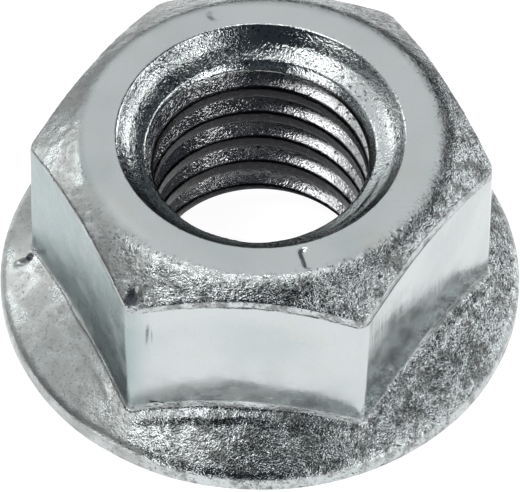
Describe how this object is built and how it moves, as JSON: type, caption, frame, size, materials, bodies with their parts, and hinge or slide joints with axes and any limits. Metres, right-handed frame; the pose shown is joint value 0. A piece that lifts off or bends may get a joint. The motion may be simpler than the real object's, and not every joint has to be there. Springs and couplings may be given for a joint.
{
  "type": "serrated flange nut",
  "caption": "Hexagon nut with a built-in round flange, a right-hand metric thread through it and ratchet serrations under the flange that grip against loosening.",
  "frame": {"origin": "centre of the bearing face, on the thread's axis", "axes": "+Z along the thread's axis from the bearing face towards the hexagon's top, and +X through a corner of the hexagon"},
  "size_m": [0.017, 0.017, 0.008],
  "materials": {
    "zinc_plate": "bright zinc plate"
  },
  "bodies": {
    "root": {"flange_nut": "zinc_plate"}
  },
  "joints": []
}
